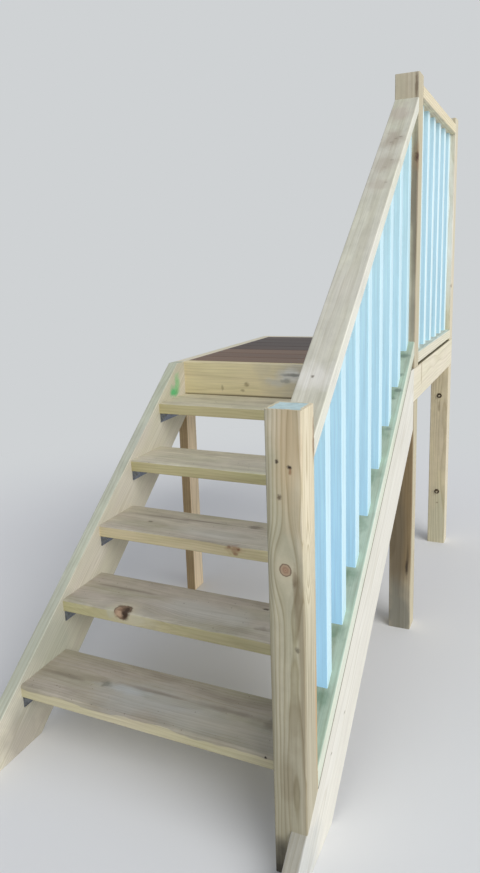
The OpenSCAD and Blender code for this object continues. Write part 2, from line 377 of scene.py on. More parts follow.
def copper_taken(tree, board, most):
    """How much of the copper each place took, in patches."""
    broad = add(tree, "ShaderNodeVectorMath", {0: board, 1: repeats(COPPER_PATCH_MM)},
                operation="MULTIPLY")
    patch = add(tree, "ShaderNodeTexNoise", {"Vector": broad, "Scale": 1.0, "Detail": 3.0})
    return add(tree, "ShaderNodeMapRange", {"Value": patch, "From Min": 0.35, "From Max": 0.7,
                                            "To Min": 0.0, "To Max": most})


def coppered(tree, share, swatch):
    """A swatch, greener where the wood took more copper."""
    greened = (*(part * kept for part, kept in zip(linear(swatch), COPPER)), 1.0)
    return add(tree, "ShaderNodeMix", {0: share, 6: linear(swatch), 7: greened}, out=2,
               data_type="RGBA")


def smeared(tree, colour, board, strength):
    """Draws long dark smears along the grain."""
    drawn = add(tree, "ShaderNodeVectorMath", {0: board, 1: repeats(SMEAR_MM)},
                operation="MULTIPLY")
    drawn = add(tree, "ShaderNodeTexNoise", {"Vector": drawn, "Scale": 1.0, "Detail": 4.0,
                                             "Distortion": 0.6})
    drawn = add(tree, "ShaderNodeMapRange", {"Value": drawn, "From Min": 0.48, "From Max": 0.74,
                                             "To Min": 0.0, "To Max": strength})
    return add(tree, "ShaderNodeMix", {0: drawn, 6: colour, 7: linear(SMEAR_TINT)}, out=2,
               data_type="RGBA", blend_type="MULTIPLY")


print("copper leaves %.0f per cent of the wood's blue" % (100 * COPPER[2]))

# %% [markdown]
# Faces that look up have turned grey-brown under boots and rain, with scuffs of
# 100 x 67 mm. A material of its own for each top would leave a hard line at the edge, so
# the face's direction chooses the colour, which softens it on rounded edges. On the
# treads the grey also laps a little way down the front, as far as boots reach, with an
# edge that wanders every 200 mm.

# %% Weathered faces
SCUFF_MM = (100, 66.7, 66.7)
LAP_WAVE_MM = 200
LAP_EDGE = (-0.001, 0.002)


def lapped(tree, place, looks, top_z, lap_mm):
    """Lets the grey of a top run over its edge, one lap down the front."""
    # The noise is about 0.5, so a height gains two laps, and the edge, which is one lap
    # above the top, comes out one lap below it.
    wave = add(tree, "ShaderNodeTexNoise", {"Vector": place.outputs["Object"],
                                            "Scale": 1000 / LAP_WAVE_MM, "Detail": 3.0})
    height = add(tree, "ShaderNodeSeparateXYZ", {0: place.outputs["Object"]}, out="Z")
    height = add(tree, "ShaderNodeMath", {0: wave, 1: 4 * lap_mm / 1000, 2: height},
                 operation="MULTIPLY_ADD")
    edge = top_z + lap_mm / 1000
    over = add(tree, "ShaderNodeMapRange", {"Value": height, "From Min": edge + LAP_EDGE[0],
                                            "From Max": edge + LAP_EDGE[1]})
    return add(tree, "ShaderNodeMath", {0: looks, 1: over}, operation="MAXIMUM")


def weathered(tree, board, place, pale, copper_share, top, front, smears, lap):
    """The wood's colour as treatment, sun and rain have left it, with painted shade on the fronts,
    without the figure.
    """
    share = copper_taken(tree, board, copper_share)
    colour = coppered(tree, share, pale)
    facing = add(tree, "ShaderNodeSeparateXYZ", {0: place.outputs["Normal"]}, out=None)
    scuff = add(tree, "ShaderNodeVectorMath", {0: board, 1: repeats(SCUFF_MM)},
                operation="MULTIPLY")
    scuff = add(tree, "ShaderNodeTexNoise", {"Vector": scuff, "Scale": 1.0, "Detail": 6.0,
                                             "Roughness": 0.68})
    # The top swatch is the weathered grey of faces that look up. The front swatch is painted shade
    # on faces that look to the front.
    for swatch, axis, low, high in ((top, "Z", 0.35, 0.75), (front, "Y", -0.35, -0.75)):
        if not swatch:
            continue
        looks = add(tree, "ShaderNodeMapRange", {"Value": facing.outputs[axis], "From Min": low,
                                                 "From Max": high})
        if lap and axis == "Z":
            looks = lapped(tree, place, looks, *lap)
        worn = add(tree, "ShaderNodeMapRange", {"Value": scuff, "From Min": 0.3, "From Max": 0.7,
                                                "To Min": 1.11, "To Max": 0.89})
        worn = add(tree, "ShaderNodeMix", {0: 1.0, 6: coppered(tree, share, swatch), 7: worn},
                   out=2, data_type="RGBA", blend_type="MULTIPLY")
        colour = add(tree, "ShaderNodeMix", {0: looks, 6: colour, 7: worn}, out=2,
                     data_type="RGBA")
    if smears:
        colour = smeared(tree, colour, board, smears)
    return colour


print("scuffs %.0f x %.0f mm" % SCUFF_MM[:2])

# %% [markdown]
# A knot is drawn over the figure: reddish wood, a thin dark ring of bark, and a pale
# collar that fades out. Each could be a spot of its own, but one ramp over the distance
# from the knot's middle keeps them in order at any size. Noise with lumps of 12.5 mm
# makes the outline ragged, as bark is.

# %% Knots in colour
RAMP_RADII = 3.0
BARK_LUMP_MM = 12.5


def knotted(tree, colour, board, nearest):
    """Draws the knots over the wood."""
    ragged = add(tree, "ShaderNodeTexNoise", {"Vector": board, "Scale": 1000 / BARK_LUMP_MM,
                                              "Detail": 2.0})
    nearest = add(tree, "ShaderNodeMath", {0: ragged, 1: 0.5, 2: nearest}, operation="MULTIPLY_ADD")
    nearest = add(tree, "ShaderNodeMath", {0: nearest, 1: RAMP_RADII}, operation="DIVIDE")
    core = add(tree, "ShaderNodeValToRGB", {0: nearest}, out=None,
               stops=((0.07, linear("#845f4b")), (0.13, linear("#a68a70")),
                      (0.21, linear("#957860")), (0.32, linear("#ab947a")),
                      (0.40, linear("#6b5846")), (0.45, (*linear("#c3b89c")[:3], 0.5)),
                      (0.60, (*linear("#cabfa4")[:3], 0.25)),
                      (0.85, (*linear("#cabfa4")[:3], 0.0))))
    return add(tree, "ShaderNodeMix", {0: core.outputs["Alpha"], 6: colour,
                                       7: core.outputs["Color"]}, out=2, data_type="RGBA")


print("a knot's colours end %.1f radii from its middle" % (0.85 * RAMP_RADII))

# %% [markdown]
# Marks and stains are ovals with a ragged edge, each seen in the picture. A stain soaks
# in, so it goes under the figure. A mark lies on top, such as a screw hole or a splash.
# The holes could be cut in the timber, but at 5 mm wide they show as dark spots only.
# Each oval is full out to about 0.4 of its size and gone a little past its size. Its
# edge has lumps of 0.6 of its size.

# %% Marks and stains
OVAL_FULL, OVAL_GONE = 1.1, 1.8
OVAL_RAGGED = 1.4
OVAL_LUMP = 0.625


def marked(tree, colour, place, marks):
    """Draws the marks: (place, size in mm, colour, strength)."""
    for spot, size_mm, swatch, strength in marks:
        away = add(tree, "ShaderNodeVectorMath", {0: place.outputs["Object"], 1: spot},
                   operation="SUBTRACT")
        scaled = add(tree, "ShaderNodeVectorMath",
                     {0: away, 1: repeats(size_mm)}, operation="MULTIPLY")
        edge = add(tree, "ShaderNodeTexNoise", {"Vector": place.outputs["Object"],
                                                "Scale": 1000 / (OVAL_LUMP * max(size_mm)),
                                                "Detail": 4.0})
        reach = add(tree, "ShaderNodeVectorMath", {0: scaled}, out="Value", operation="LENGTH")
        reach = add(tree, "ShaderNodeMath", {0: edge, 1: OVAL_RAGGED, 2: reach},
                    operation="MULTIPLY_ADD")
        stain = add(tree, "ShaderNodeMapRange", {"Value": reach, "From Min": OVAL_FULL,
                                                 "From Max": OVAL_GONE, "To Min": strength,
                                                 "To Max": 0.0})
        colour = add(tree, "ShaderNodeMix", {0: stain, 6: colour, 7: linear(swatch)}, out=2,
                     data_type="RGBA")
    return colour


print("noise moves an oval's edge by up to %.1f of its size" % (OVAL_RAGGED / 2))

# %% [markdown]
# Trodden faces also carry grit. Real grains would be thousands of tiny pieces, so a
# Voronoi pattern scatters them as specks instead: a cell every 15 mm, a speck in about
# half of the cells, and each speck up to 5 mm wide, larger than real grit so that it
# shows.

# %% Grit
GRIT_CELL_MM = 15.4
GRIT_SHARE = 0.45
GRIT_LARGEST = 0.17
GRIT_STRENGTH = 0.55


def gritty(tree, colour, place):
    """Specks of dirt trodden into the faces that look up."""
    up = add(tree, "ShaderNodeSeparateXYZ", {0: place.outputs["Normal"]}, out="Z")
    grain = add(tree, "ShaderNodeTexVoronoi", {"Vector": place.outputs["Object"],
                                               "Scale": 1000 / GRIT_CELL_MM}, out=None)
    chance = add(tree, "ShaderNodeSeparateColor", {0: grain.outputs["Color"]}, out=0)
    size = add(tree, "ShaderNodeMapRange", {"Value": chance, "From Min": 1.0 - GRIT_SHARE,
                                            "From Max": 1.0, "To Min": 0.0,
                                            "To Max": GRIT_LARGEST})
    speck = add(tree, "ShaderNodeMath", {0: grain.outputs["Distance"], 1: size},
                operation="LESS_THAN")
    speck = add(tree, "ShaderNodeMath", {0: speck, 1: up}, operation="MULTIPLY")
    speck = add(tree, "ShaderNodeMath", {0: speck, 1: GRIT_STRENGTH}, operation="MULTIPLY")
    return add(tree, "ShaderNodeMix", {0: speck, 6: colour, 7: linear("#5b5145")}, out=2,
               data_type="RGBA")


print("widest speck %.1f mm" % (2 * GRIT_LARGEST * GRIT_CELL_MM))

# %% [markdown]
# Where the base rail sits on the stringer, the joint is open a hair and its groove lies in
# shade. It is too thin to model, so its shade is painted as a line on the stringer: fully
# dark down to 3 mm below the joint, and gone by 5.5 mm.

# %% Shaded seam
SEAM_FULL, SEAM_GONE = 0.0030, 0.0055


def seamed(tree, colour, board, place, grain, heart, start):
    """Paints the shade in the joint under a rail, from where the rail starts and up the rake."""
    first = into_board(grain, heart, start)
    here = add(tree, "ShaderNodeSeparateXYZ", {0: board}, out=None)
    side = add(tree, "ShaderNodeSeparateXYZ", {0: place.outputs["Normal"]}, out="X")
    side = add(tree, "ShaderNodeMath", {0: side, 1: 0.5}, operation="GREATER_THAN")
    beyond = add(tree, "ShaderNodeMath", {0: here.outputs["X"], 1: first.x},
                 operation="GREATER_THAN")
    dark = add(tree, "ShaderNodeMapRange", {"Value": here.outputs["Z"],
                                            "From Min": first.z - SEAM_GONE,
                                            "From Max": first.z - SEAM_FULL,
                                            "To Min": 0.0, "To Max": 0.9})
    dark = add(tree, "ShaderNodeMath", {0: dark, 1: side}, operation="MULTIPLY")
    dark = add(tree, "ShaderNodeMath", {0: dark, 1: beyond}, operation="MULTIPLY")
    return add(tree, "ShaderNodeMix", {0: dark, 6: colour, 7: linear("#7b7462")}, out=2,
               data_type="RGBA")


print("seam drawn %.1f mm wide" % (SEAM_GONE * 1000))

# %% [markdown]
# The bottom newel's top was sealed with a brush of the balusters' primer, which stopped
# short of the edges here and there. A painted square could be a thin piece of its own,
# but paint has no thickness to see, so it is drawn: noise with lumps of 18 mm, the width
# of a brush's tufts, moves the edge of the square in and out by a few millimetres.

# %% Primed top
BRUSH_WANDER = 0.016
BRUSH_EDGE = 0.0015
BRUSH_MARK_MM = 18.18


def primed_top(tree, colour, place, middle, half_mm, swatch):
    """Primer brushed on a sawn top, which stops short of its edges here and there."""
    facing = add(tree, "ShaderNodeSeparateXYZ", {0: place.outputs["Normal"]}, out="Z")
    away = add(tree, "ShaderNodeVectorMath", {0: place.outputs["Object"], 1: middle},
               operation="SUBTRACT")
    away = add(tree, "ShaderNodeVectorMath", {0: away}, operation="ABSOLUTE")
    away = add(tree, "ShaderNodeSeparateXYZ", {0: away}, out=None)
    away = add(tree, "ShaderNodeMath", {0: away.outputs["X"], 1: away.outputs["Y"]},
               operation="MAXIMUM")
    brush = add(tree, "ShaderNodeTexNoise", {"Vector": place.outputs["Object"],
                                             "Scale": 1000 / BRUSH_MARK_MM, "Detail": 3.0})
    away = add(tree, "ShaderNodeMath", {0: brush, 1: BRUSH_WANDER, 2: away},
               operation="MULTIPLY_ADD")
    edge = half_mm / 1000 + BRUSH_WANDER / 2
    inside = add(tree, "ShaderNodeMapRange", {"Value": away, "From Min": edge + BRUSH_EDGE,
                                              "From Max": edge - BRUSH_EDGE})
    flat = add(tree, "ShaderNodeMapRange", {"Value": facing, "From Min": 0.7, "From Max": 0.9})
    painted = add(tree, "ShaderNodeMath", {0: inside, 1: flat}, operation="MULTIPLY")
    thick = add(tree, "ShaderNodeMapRange", {"Value": brush, "From Min": 0.35, "From Max": 0.65,
                                             "To Min": 0.86, "To Max": 1.05})
    paint = add(tree, "ShaderNodeMix", {0: 1.0, 6: linear(swatch), 7: thick}, out=2,
                data_type="RGBA", blend_type="MULTIPLY")
    return add(tree, "ShaderNodeMix", {0: painted, 6: colour, 7: paint}, out=2, data_type="RGBA")


print("brush marks every %.0f mm" % BRUSH_MARK_MM)

# %% [markdown]
# One finish for all the timber puts these steps together: the board's space is bent past
# its knots, the rings are cut from it, and weather, knots and marks are laid over them.
# A finish written out for each of the 22 timbers would soon differ in more than it
# should. Planed pine is dull, between 0.6 and 0.75 rough. Its late wood stands a little
# proud of the softer early wood, and a bump of half a millimetre gives that.

# %% Treated pine
def treated_pine(name, grain, heart, pale, copper_share=0.4, top=None, front=None, knots=(),
                 wild=0.0, stains=(), marks=(), contrast=0.6, wander_mm=30.0, smears=0.0,
                 lap=None, grit=False, seam=None, primed=None):
    """One board's finish. Knots are (place, radius in mm, through or inside)."""
    material, tree, shader = new_finish(name)
    place = add(tree, "ShaderNodeTexCoord", out=None)
    board = board_space(tree, grain, heart)
    bent = board
    nearest = None
    if wild:
        away, radius = wild_knots(tree, board, wild)
        bent, nearest = bend_past(tree, bent, away, "through", radius)
    for spot, radius_mm, way in knots:
        away = add(tree, "ShaderNodeVectorMath", {0: board, 1: into_board(grain, heart, spot)},
                   operation="SUBTRACT")
        bent, radii = bend_past(tree, bent, away, way, radius_mm / 1000)
        if nearest is None:
            nearest = radii
        else:
            nearest = add(tree, "ShaderNodeMath", {0: nearest, 1: radii}, operation="MINIMUM")
    tint, ring, fibre = ring_tint(tree, bent, contrast, wander_mm)
    colour = weathered(tree, board, place, pale, copper_share, top, front, smears, lap)
    colour = marked(tree, colour, place, stains)
    colour = add(tree, "ShaderNodeMix", {0: 1.0, 6: colour, 7: tint}, out=2,
                 data_type="RGBA", blend_type="MULTIPLY")
    if nearest is not None:
        colour = knotted(tree, colour, board, nearest)
    colour = marked(tree, colour, place, marks)
    if grit:
        colour = gritty(tree, colour, place)
    if seam:
        colour = seamed(tree, colour, board, place, grain, heart, seam)
    if primed:
        colour = primed_top(tree, colour, place, *primed)
    tree.links.new(colour, shader.inputs["Base Color"])
    rough = add(tree, "ShaderNodeMapRange", {"Value": fibre, "From Min": 0.3, "From Max": 0.7,
                                             "To Min": 0.74, "To Max": 0.60})
    tree.links.new(rough, shader.inputs["Roughness"])
    relief = add(tree, "ShaderNodeMath", {0: ring, 1: 0.5, 2: fibre}, operation="MULTIPLY_ADD")
    bump = add(tree, "ShaderNodeBump", {"Strength": 0.35, "Distance": 0.0006, "Height": relief})
    tree.links.new(bump, shader.inputs["Normal"])
    return material


print("a timber's grain can run", ", ".join(GRAIN))

# %% [markdown]
# A CAD piece keeps its own mesh, so dressing it only fills its material slot. A timber
# also needs its pith. It could be given as a place in the model, but its distance from
# the middle of the piece is what a sawyer would see.

# %% Dressing a piece
def dress(node, material):
    """Puts a finish on a CAD piece."""
    slots = cad_pieces[node].data.materials
    slots.clear()
    slots.append(material)


def dress_pine(node, grain, pale, pith, **look):
    """Finishes one timber, with its pith placed from the middle of the piece."""
    low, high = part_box(node)
    heart = (low + high) / 2 + Vector(pith)
    dress(node, treated_pine("treated pine, " + node.replace("_", " "), grain, heart, pale, **look))


print(len(cad_pieces), "CAD pieces wait for a finish")

# %% [markdown]
# The treads are flat-sawn planks, heart side down, so the pith lies well below them and
# their tops show long arches. Each comes from another place in its log, so no two show
# the same ones. Boots and rain have greyed the tops, while the fronts keep the
# yellow-green of the treatment. The knot, the scuffs and the screw holes could be left
# to chance, but they tell one tread from the next, so they are placed one by one. The
# broad pale grey patches on the tops are painted sheen.

# %% Treads
MUD = "#7d7268"
RUST = "#96664a"
PITH_BELOW, PITH_DEEPER, PITH_ASIDE = 0.075, 0.012, 0.03
# The broad pale grey stains on the tops of treads 1 to 3 are painted sheen.
tread_looks = {
    1: dict(top="#b0a79a", pale="#ccc2a6", lap_mm=14,
            stains=(((-0.02, -0.945, 0.23), (240, 90, 30), "#b3b5b0", 0.6),
                    ((-0.17, -0.915, 0.23), (100, 26, 20), "#b9bfc2", 0.55),
                    ((0.22, -0.97, 0.23), (190, 50, 20), "#bbb4a4", 0.6),
                    ((-0.40, -0.925, 0.23), (110, 12, 20), MUD, 0.5),
                    ((-0.05, -0.893, 0.23), (150, 10, 20), MUD, 0.55),
                    ((0.20, -0.893, 0.23), (130, 14, 20), MUD, 0.5),
                    ((0.36, -0.905, 0.23), (40, 30, 20), "#6d665c", 0.5)),
            marks=(((-0.235, -0.915, 0.23), (24, 18, 20), "#66675a", 0.6),
                   ((0.3766, -1.0273, 0.2194), (5, 12, 5), "#1d1712", 1.0))),
    2: dict(top="#b8afa3", pale="#c4ba96", lap_mm=5,
            knots=(((-0.253, -0.766, 0.416), 29, "inside"),),
            stains=(((0.00, -0.68, 0.42), (200, 70, 20), "#bfbeb6", 0.6),
                    ((-0.37, -0.63, 0.42), (110, 9, 20), MUD, 0.5),
                    ((-0.2488, -0.629, 0.42), (60, 8, 20), MUD, 0.45),
                    ((-0.295, -0.782, 0.414), (26, 24, 26), "#b9bba6", 0.7),
                    ((-0.190, -0.782, 0.404), (80, 12, 36), "#cbc7b2", 0.5),
                    ((0.248, -0.7145, 0.42), (34, 16, 20), MUD, 0.55)),
            marks=(((-0.2550, -0.779, 0.408), (32, 26, 22), "#7a553c", 0.4),
                   ((-0.262, -0.748, 0.420), (26, 12, 10), "#6b5440", 0.7),
                   ((-0.237, -0.773, 0.414), (23, 36, 25), "#3d2918", 1.0),
                   ((-0.264, -0.782, 0.410), (18, 14, 12), "#c9ab8e", 0.8),
                   ((0.2077, -0.5894, 0.42), (14, 7, 10), "#3d352d", 0.9))),
    3: dict(top="#c3baac", pale="#d6c8a3", lap_mm=4,
            stains=(((-0.32, -0.375, 0.61), (150, 11, 20), MUD, 0.5),
                    ((-0.11, -0.366, 0.61), (150, 10, 20), MUD, 0.6),
                    ((0.0737, -0.3547, 0.61), (30, 22, 20), MUD, 0.75),
                    ((-0.05, -0.46, 0.61), (200, 50, 20), "#c4c2b8", 0.5),
                    ((0.068, -0.5373, 0.594), (34, 22, 18), RUST, 0.6)),
            marks=(((-0.3336, -0.434, 0.61), (12, 8, 20), "#5f5a48", 0.7),
                   ((0.0863, -0.5373, 0.5988), (8, 14, 8), "#7b4a30", 0.75),
                   ((0.050, -0.5373, 0.602), (9, 14, 7), "#7b4a30", 0.6),
                   ((0.0741, -0.5373, 0.580), (12, 14, 6), "#85533a", 0.6))),
    4: dict(top="#d6cebd", pale="#c9be94", lap_mm=3),
    5: dict(top="#d4cbb7", pale="#cabd95", lap_mm=2),
}
for number, look in tread_looks.items():
    node = "tread_%d" % number
    lap = (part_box(node)[1].z, look.pop("lap_mm"))
    pith = (0.0, PITH_ASIDE * (number % 3 - 1), -PITH_BELOW - PITH_DEEPER * number)
    dress_pine(node, "across", pith=pith, lap=lap, wander_mm=34, contrast=0.30, smears=0.40,
               copper_share=0.7, grit=True, **look)
print(len(tread_looks), "treads dressed")

# %% [markdown]
# The stringers are wide planks set on edge, pale and nearly clean on their faces. Their
# top edges have weathered to a grey-green, and the left one has a green mark near its
# upper end. They could share one finish, but the left one shows its inner face, which
# the treads shade and boots brush, so each has its own log and its own colours.

# %% Stringers
rail_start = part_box("base_rail")[0]
dress_pine(
    "right_stringer", "rake", "#ebe8de", pith=(-0.06, 0.0, -0.07), top="#adaa9e", wild=0.12,
    contrast=0.36, copper_share=0.1, smears=0.12, seam=rail_start,
    stains=(((0.545, -1.20, 0.05), (6, 150, 110), "#cdcfcc", 0.8),),
    marks=(((0.545, -0.952, 0.2271), (10, 9, 4), "#8a7f6c", 0.8),
           ((0.545, -0.820, 0.2684), (9, 10, 4), "#8a7f6c", 0.7)))
dress_pine(
    "left_stringer", "rake", "#dad3c4", pith=(0.05, 0.0, -0.07), top="#c2c5b5", wild=0.12,
    contrast=0.45, smears=0.2,
    # The first stain is painted shade under the first tread.
    stains=(((-0.5, -1.03, 0.06), (20, 150, 120), "#a8a296", 0.8),
            ((-0.5225, -0.93, 0.318), (60, 330, 260), "#b0b3a3", 0.75),
            ((-0.5, 0.0951, 1.0178), (26, 44, 30), "#58c07c", 0.95),
            ((-0.5, 0.1200, 1.0480), (20, 26, 52), "#8ccb90", 0.8)))
print("seam starts at", [round(place, 3) for place in rail_start])

# %% [markdown]
# The bottom newel is sawn from a small log, with the pith inside it, so its faces show
# wide arches. Its large knot and the sweep of grain round it are what the eye meets
# first. One plain colour would make it look new. So long stains darken it down its edges
# and towards its foot, and its nail holes are placed one by one. Its front takes a darker
# swatch, which is painted shade, and the darkest patch, at the foot of its inner half, is
# dirt with painted shadow of the stringer.

# %% Bottom newel
newel_low, newel_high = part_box("bottom_newel_post")
newel_top = ((newel_low.x + newel_high.x) / 2, (newel_low.y + newel_high.y) / 2, newel_high.z)
dress_pine(
    # The front swatch is painted shade.
    "bottom_newel_post", "up", "#dad1b7", pith=(0.022, -0.012, 0.0), front="#b9b29c",
    contrast=0.85, wander_mm=34, primed=(newel_top, 37, "#bfd7d9"),
    knots=(((0.5002, -1.1623, 0.8618), 15, "through"),),
    stains=(((0.495, -1.1623, 0.18), (110, 20, 470), "#9f9982", 0.8),
            ((0.545, -1.1173, 0.30), (20, 80, 420), "#bfb7a0", 0.85),
            ((0.545, -1.1100, 1.12), (20, 90, 390), "#f2e5c8", 0.75),
            ((0.488, -1.1623, 1.23), (44, 12, 80), "#d6cbb3", 0.7),
            ((0.512, -1.1623, 1.18), (40, 12, 230), "#c8b491", 0.8),
            ((0.458, -1.1623, 0.72), (12, 12, 620), "#8a8670", 0.6),
            ((0.540, -1.1623, 0.60), (10, 12, 420), "#8a7c60", 0.6),
            ((0.527, -1.1623, 0.79), (9, 12, 100), "#85775c", 0.7),
            ((0.522, -1.1623, 0.845), (7, 12, 34), "#75664c", 0.7),
            ((0.516, -1.1623, 0.46), (22, 12, 110), "#8d8369", 0.6),
            ((0.500, -1.1623, 0.28), (30, 12, 80), "#8b8168", 0.6),
            # Dirt with painted shadow of the stringer, at the foot of the inner half.
            ((0.468, -1.1623, 0.00), (46, 12, 110), "#454037", 0.9)),
    marks=(((0.4838, -1.1623, 1.1279), (5, 12, 7), "#3a2f22", 0.9),
           ((0.5152, -1.1623, 1.1165), (7, 12, 6), "#2b2118", 1.0),
           ((0.5165, -1.1623, 1.106), (5, 12, 9), "#8d6a48", 0.8),
           ((0.4891, -1.1623, 1.0418), (6, 12, 9), "#5a4b36", 0.85),
           ((0.5267, -1.1623, 0.6591), (7, 12, 9), "#6b6450", 0.8),
           ((0.545, -1.0765, 1.165), (11, 12, 60), "#8a6543", 0.8),
           ((0.545, -1.0765, 0.50), (11, 12, 330), "#cfa673", 0.8)))
print("primed top at %.3f m" % newel_top[2])

# %% [markdown]
# The other posts come from the same kind of log. They could be copies of the bottom
# newel's finish, but each differs in its own way, and each front takes a darker swatch,
# which is painted shade. The top newel is darker along its right edge below the handrail
# and down its leg under the landing, which is painted shade, and carries a dark knot
# under the handrail, with painted shade from the rail's end over it. The wall post is
# paler above the landing. The left leg is yellower and plainer, and its pale colour is
# raised above the wood's own as painted light where the flight shades it.

# %% Other posts
dress_pine(
    "top_newel_post", "up", "#cfc4a9", pith=(-0.03, 0.03, 0.0), front="#c2b8a3", contrast=0.45,
    stains=(((0.535, 0.1927, 2.19), (6, 10, 60), "#76654f", 0.8),
            # Painted shade: this strip down the right edge below the handrail, and the leg's
            # darkening under the landing below.
            ((0.538, 0.1927, 1.70), (17, 12, 480), "#716250", 0.75),
            ((0.508, 0.1927, 0.66), (80, 20, 620), "#857150", 0.95),
            ((0.487, 0.1927, 0.42), (40, 20, 480), "#6f6450", 0.85),
            ((0.500, 0.1927, 0.05), (75, 14, 170), "#7c7b70", 0.85)),
    # A knot under the handrail, with painted shade from the rail's end over it.
    marks=(((0.545, 0.1927, 1.940), (30, 26, 62), "#8f7658", 0.6),
           ((0.545, 0.1960, 1.943), (15, 17, 19), "#4f3323", 0.95),
           ((0.533, 0.1927, 0.34), (5, 14, 70), "#51442f", 0.6),
           ((0.529, 0.1927, 0.285), (8, 14, 46), "#3f3324", 0.95)))
dress_pine(
    # The front swatch is painted shade.
    "wall_post", "up", "#e3d8c2", pith=(0.04, 0.02, 0.0), front="#d1c4a7", wild=0.2,
    stains=(((0.5, 1.1927, 1.75), (80, 20, 620), "#ebebe6", 0.8),
            ((0.5, 1.1927, 0.10), (90, 20, 230), "#bdbca2", 0.6),
            ((0.5, 1.1927, 0.78), (6, 12, 40), "#8a7a60", 0.6)),
    marks=(((0.545, 1.2051, 1.4225), (10, 14, 14), "#8d7250", 0.75),
           ((0.503, 1.1927, 0.2351), (8, 12, 4), "#6d604b", 0.7)))
# The pale is raised above the wood's own colour, painted light on the sides that the flight shades,
# and the front swatch is painted shade.
dress_pine("left_leg", "up", "#fde7c6", pith=(-0.05, 0.0, 0.0), front="#a8906a", wild=0.2,
           copper_share=0.1)
print("four posts dressed")

# %% [markdown]
# The landing's frame is the same timber, butted and nailed. The right joist's top edge
# lies just under the landing's bottom rail, and its dark top swatch is painted shade in
# that gap. The header faces whoever climbs the stairs, so its smudges and knots are placed
# one by one, and the dark line along its foot is painted shade in the joint above the top
# tread. The joists and bearers behind it are hidden, so one loop gives them a plain
# finish.

# %% Landing frame
dress_pine(
    "landing_header", "across", "#e2d4ac", pith=(0.0, 0.06, 0.0), contrast=0.25, smears=0.3,
    stains=(((0.17, 0.1927, 1.07), (300, 20, 200), "#bbb4a5", 0.85),
            ((0.02, 0.1927, 1.09), (70, 20, 34), "#d6d5d0", 0.8),
            ((-0.04, 0.1927, 1.06), (60, 20, 24), "#d0cec8", 0.6)),
    marks=(((0.035, 0.1927, 1.095), (60, 20, 9), "#77766f", 0.8),
           ((0.00, 0.1927, 1.068), (30, 20, 12), "#8d8c84", 0.7),
           # Painted shade in the joint above the top tread.
           ((0.0, 0.1927, 0.9915), (900, 10, 6), "#62583f", 0.85),
           ((-0.3074, 0.1927, 1.024), (7, 8, 16), "#9a8c68", 0.6),
           ((-0.1879, 0.1927, 1.0453), (15, 8, 12), "#8f7f5b", 0.65),
           ((-0.2084, 0.1927, 1.0172), (12, 8, 7), "#8f7f5b", 0.6)))
dress_pine(
    # The dark top swatch is painted shade in the gap under the landing's bottom rail.
    "right_landing_joist", "back", "#eae1cb", pith=(-0.06, 0.0, 0.03), top="#77705a", wild=0.15,
    contrast=0.4, marks=(((0.545, 0.3649, 1.092), (9, 13, 60), "#a8946e", 0.6),))
hidden_timbers = (("left_landing_joist", "back", (0.05, 0.0, 0.02)),
                  ("back_landing_joist", "across", (0.0, -0.05, 0.02)),
                  ("centre_bearer", "back", (0.05, 0.0, 0.0)),
                  ("left_bearer", "back", (-0.05, 0.0, 0.0)),
                  ("right_bearer", "back", (0.05, 0.0, 0.01)))
for node, grain, pith in hidden_timbers:
    dress_pine(node, grain, "#eae1cb", pith, wild=0.15, contrast=0.4)
print("header, right joist and", len(hidden_timbers), "hidden timbers dressed")

# %% [markdown]
# The handrail is dressed smooth and rounded at its edges. Its top has dulled to a grey
# tan, with a paler patch near its lower end and brown patches and small dark marks
# towards its upper end. Noise could give such patches anywhere, but these are large
# enough to be recognised, so they are placed.

# %% Handrail
dress_pine(
    "handrail", "rake", "#eeece1", pith=(0.01, 0.0, -0.06), top="#cdcbbe", wander_mm=20,
    contrast=0.3, smears=0.15,
    stains=(((0.500, -0.920, 1.288), (66, 52, 52), "#e3e1d9", 0.85),
            ((0.502, -0.640, 1.505), (60, 110, 90), "#d3d0c4", 0.6),
            ((0.500, -0.249, 1.809), (46, 42, 36), "#bab3a5", 0.6),
            ((0.498, -0.150, 1.886), (47, 66, 56), "#b5ae9f", 0.75),
            ((0.498, -0.030, 1.978), (48, 70, 60), "#ada596", 0.9),
            ((0.495, 0.110, 2.087), (48, 80, 70), "#bab2a4", 0.85)),
    marks=(((0.4924, -0.9221, 1.2866), (5, 6, 6), "#6a6153", 0.8),
           ((0.523, -0.020, 1.986), (9, 5, 5), "#776f63", 0.6),
           ((0.508, -0.028, 1.980), (6, 5, 5), "#7d766a", 0.6),
           ((0.496, -0.045, 1.967), (8, 5, 5), "#857d70", 0.55),
           ((0.517, -0.136, 1.897), (8, 5, 5), "#857d70", 0.5),
           ((0.502, -0.168, 1.872), (6, 4, 4), "#8d8578", 0.5),
           ((0.522, -0.240, 1.816), (7, 4, 4), "#8d8578", 0.5)))

# %% [markdown]
# Rain runs down the base rail and has turned its top green-grey, with a few dark spots
# near its upper end. In front of each baluster's foot the green is darker, which is
# painted shade. Those places could be marked by eye, but they follow the balusters, so
# they are counted out at the same spacing. The landing's two rails are drier and plain.

